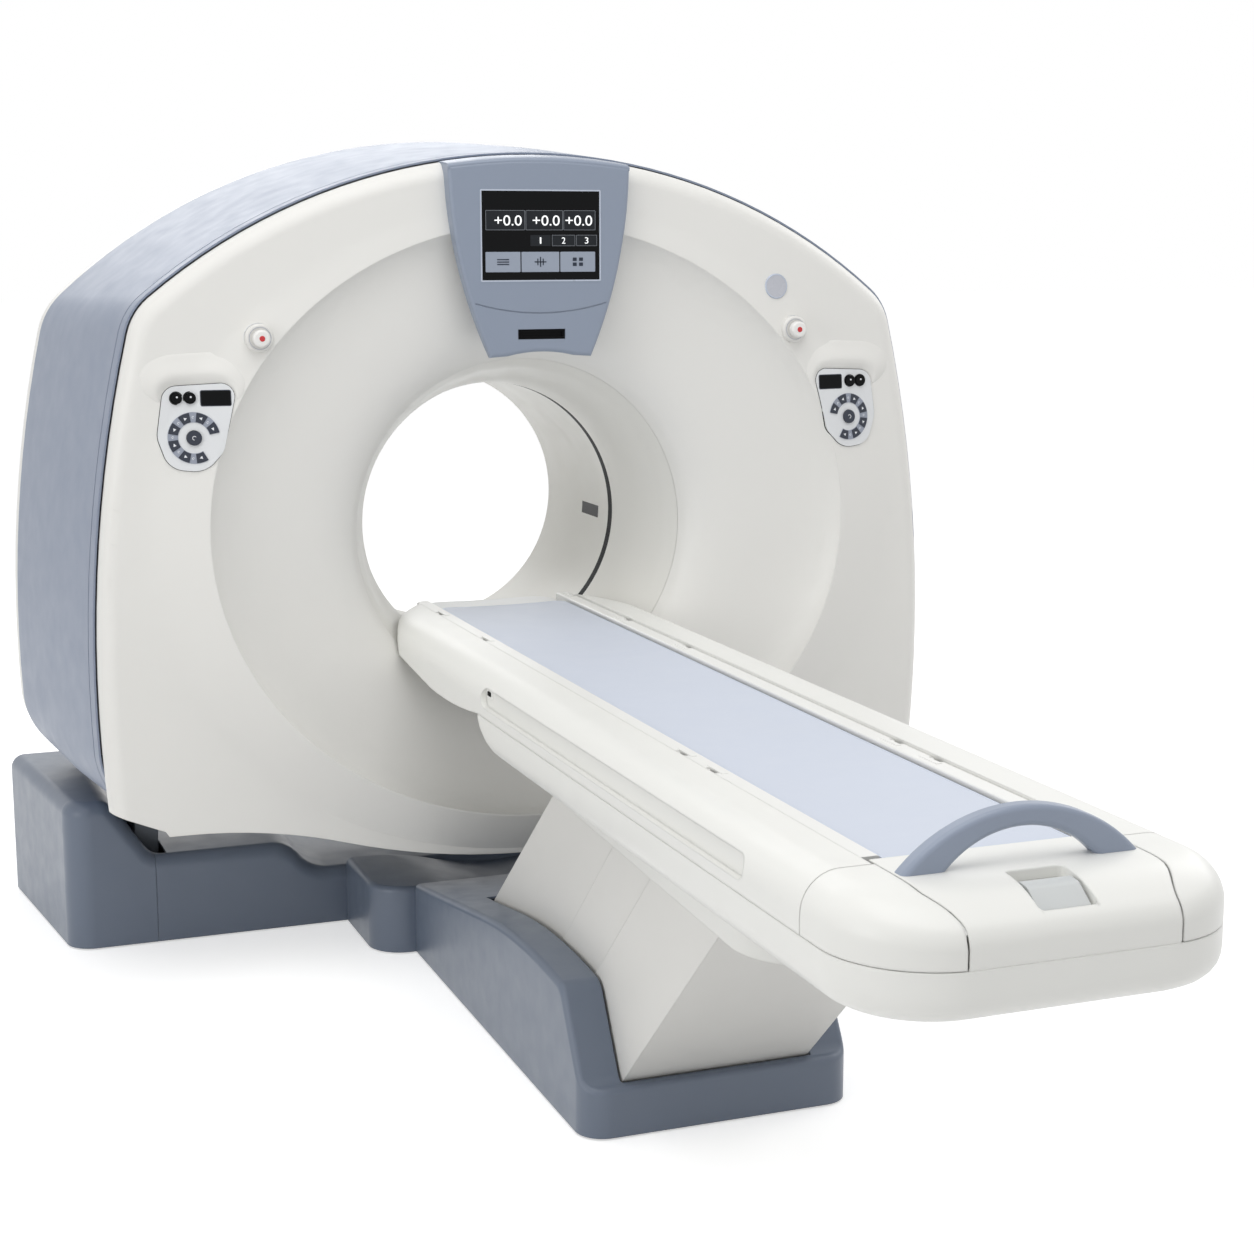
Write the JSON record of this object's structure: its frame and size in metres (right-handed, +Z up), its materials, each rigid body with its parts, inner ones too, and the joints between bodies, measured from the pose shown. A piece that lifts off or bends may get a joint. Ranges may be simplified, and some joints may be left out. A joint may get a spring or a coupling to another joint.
{
  "type": "ct scanner",
  "caption": "Medical CT scanner: ring-shaped tilting gantry on a floor base with a motorised patient couch on a scissor-arm lift and a sliding tabletop.",
  "frame": {"origin": "on the floor straight below the isocentre, in the scan plane", "axes": "+Z up; +Y along the bore from the couch to the rear of the gantry; +X to the right seen from the couch"},
  "size_m": [2.39, 3.495, 2.054],
  "materials": {
    "cover_white": "satin",
    "band_blue_grey": "satin",
    "base_grey": "gloss",
    "liner_light": "matte",
    "window_clear": "satin",
    "steel_paint": "satin",
    "bearing_steel": "satin",
    "drive_black": "satin",
    "rotor_metal": "satin",
    "tube_housing": "satin",
    "mat_fabric": "matte",
    "rail_plastic": "satin",
    "screen_black": "gloss",
    "laser_dark": "gloss",
    "trim_white": "satin",
    "stop_red": "gloss"
  },
  "bodies": {
    "floor_base": {"gantry_base_frame": "steel_paint", "tilt_arm_left": "steel_paint", "tilt_arm_right": "steel_paint", "gantry_base_cover": "base_grey", "base_end_cover_left": "base_grey", "base_end_cover_right": "base_grey", "base_step_cover": "base_grey", "couch_base_frame": "steel_paint", "couch_base_cover": "base_grey", "levelling_feet": "bearing_steel", "tilt_gearmotor": "drive_black"},
    "gantry": {"tilt_frame": "steel_paint", "front_cover": "cover_white", "funnel_ring": "cover_white", "scan_window": "window_clear", "bore_liner": "liner_light", "side_band": "band_blue_grey", "rear_cover": "cover_white", "console_housing": "band_blue_grey", "touch_screen": "screen_black", "console_slot": "screen_black", "panel_left": "band_blue_grey", "panel_right": "band_blue_grey", "keypad_left": "screen_black", "keypad_right": "screen_black", "estop_bezels": "trim_white", "round_plug": "trim_white", "laser_window": "laser_dark", "main_bearing": "bearing_steel"},
    "rotor": {"rotor_drum": "rotor_metal", "xray_tube": "tube_housing", "detector": "tube_housing", "generator": "rotor_metal"},
    "front_link": {"front_arm": "steel_paint", "column_cover_gantry": "cover_white"},
    "rear_link": {"rear_arm": "steel_paint", "column_cover_foot": "cover_white"},
    "middle_cover": {"column_cover_middle_left": "cover_white", "column_cover_middle_right": "cover_white"},
    "couch_carrier": {"couch_trough": "cover_white", "couch_beam": "steel_paint"},
    "couch_upper": {"couch_shell": "cover_white", "couch_lower_band": "cover_white", "foot_corner_left": "cover_white", "foot_corner_right": "cover_white", "bed_frame": "steel_paint"},
    "table": {"tabletop": "cover_white", "mat": "mat_fabric", "table_rails": "rail_plastic", "end_cap": "band_blue_grey", "handle": "band_blue_grey"},
    "table_release": {"release_button": "trim_white"},
    "light_button_left_1_body": {"light_button_left_1": "trim_white"},
    "light_button_left_2_body": {"light_button_left_2": "trim_white"},
    "centre_button_left_body": {"centre_button_left": "trim_white"},
    "estop_button_left_body": {"estop_button_left": "stop_red"},
    "light_button_right_1_body": {"light_button_right_1": "trim_white"},
    "light_button_right_2_body": {"light_button_right_2": "trim_white"},
    "centre_button_right_body": {"centre_button_right": "trim_white"},
    "estop_button_right_body": {"estop_button_right": "stop_red"}
  },
  "joints": [
    {"name": "gantry_tilt", "type": "hinge", "parent": "floor_base", "child": "gantry", "pos_m": [0, 0, 1.075], "axis": [-1, 0, 0], "range_deg": [-20, 0]},
    {"name": "rotor_spin", "type": "hinge", "parent": "gantry", "child": "rotor", "pos_m": [0, 0, 1.075], "axis": [0, 1, 0], "continuous": true},
    {"name": "couch_lift", "type": "hinge", "parent": "floor_base", "child": "front_link", "pos_m": [0, -0.752, 0.19], "axis": [-1, 0, 0], "range_deg": [-25.3, 0]},
    {"name": "rear_link_swing", "type": "hinge", "parent": "floor_base", "child": "rear_link", "pos_m": [0, -1.56, 0.19], "axis": [-1, 0, 0], "range_deg": [-25.4, 0.1]},
    {"name": "middle_cover_swing", "type": "hinge", "parent": "floor_base", "child": "middle_cover", "pos_m": [0, -1.156, 0.19], "axis": [-1, 0, 0], "range_deg": [-25.4, 0.1]},
    {"name": "couch_level", "type": "hinge", "parent": "front_link", "child": "couch_carrier", "pos_m": [0, -1.23961, 0.6495], "axis": [-1, 0, 0], "range_deg": [-0.1, 25.4]},
    {"name": "couch_retract", "type": "slide", "parent": "couch_carrier", "child": "couch_upper", "axis": [0, 1, 0], "range_m": [-0.4872, 0.001]},
    {"name": "table_slide", "type": "slide", "parent": "couch_upper", "child": "table", "axis": [0, 1, 0], "range_m": [0, 1.5]},
    {"name": "table_release_press", "type": "slide", "parent": "table", "child": "table_release", "axis": [0, 0, -1], "range_m": [0, 0.003], "stiffness_N_per_m": 900, "springref_m": -0.004},
    {"name": "light_button_left_1_press", "type": "slide", "parent": "gantry", "child": "light_button_left_1_body", "axis": [0, 1, 0], "range_m": [0, 0.002], "stiffness_N_per_m": 900, "springref_m": -0.002},
    {"name": "light_button_left_2_press", "type": "slide", "parent": "gantry", "child": "light_button_left_2_body", "axis": [0, 1, 0], "range_m": [0, 0.002], "stiffness_N_per_m": 900, "springref_m": -0.002},
    {"name": "centre_button_left_press", "type": "slide", "parent": "gantry", "child": "centre_button_left_body", "axis": [0, 1, 0], "range_m": [0, 0.002], "stiffness_N_per_m": 900, "springref_m": -0.002},
    {"name": "estop_button_left_press", "type": "slide", "parent": "gantry", "child": "estop_button_left_body", "axis": [0, 1, 0], "range_m": [0, 0.004], "stiffness_N_per_m": 900, "springref_m": -0.002},
    {"name": "light_button_right_1_press", "type": "slide", "parent": "gantry", "child": "light_button_right_1_body", "axis": [0, 1, 0], "range_m": [0, 0.002], "stiffness_N_per_m": 900, "springref_m": -0.002},
    {"name": "light_button_right_2_press", "type": "slide", "parent": "gantry", "child": "light_button_right_2_body", "axis": [0, 1, 0], "range_m": [0, 0.002], "stiffness_N_per_m": 900, "springref_m": -0.002},
    {"name": "centre_button_right_press", "type": "slide", "parent": "gantry", "child": "centre_button_right_body", "axis": [0, 1, 0], "range_m": [0, 0.002], "stiffness_N_per_m": 900, "springref_m": -0.002},
    {"name": "estop_button_right_press", "type": "slide", "parent": "gantry", "child": "estop_button_right_body", "axis": [0, 1, 0], "range_m": [0, 0.004], "stiffness_N_per_m": 900, "springref_m": -0.002}
  ],
  "couplings": [
    {"joint": "rear_link_swing", "follows": "couch_lift", "ratio": 1},
    {"joint": "middle_cover_swing", "follows": "couch_lift", "ratio": 1},
    {"joint": "couch_level", "follows": "couch_lift", "ratio": -1},
    {"joint": "couch_retract", "follows": "couch_lift", "m_per_rad": 1.1}
  ]
}
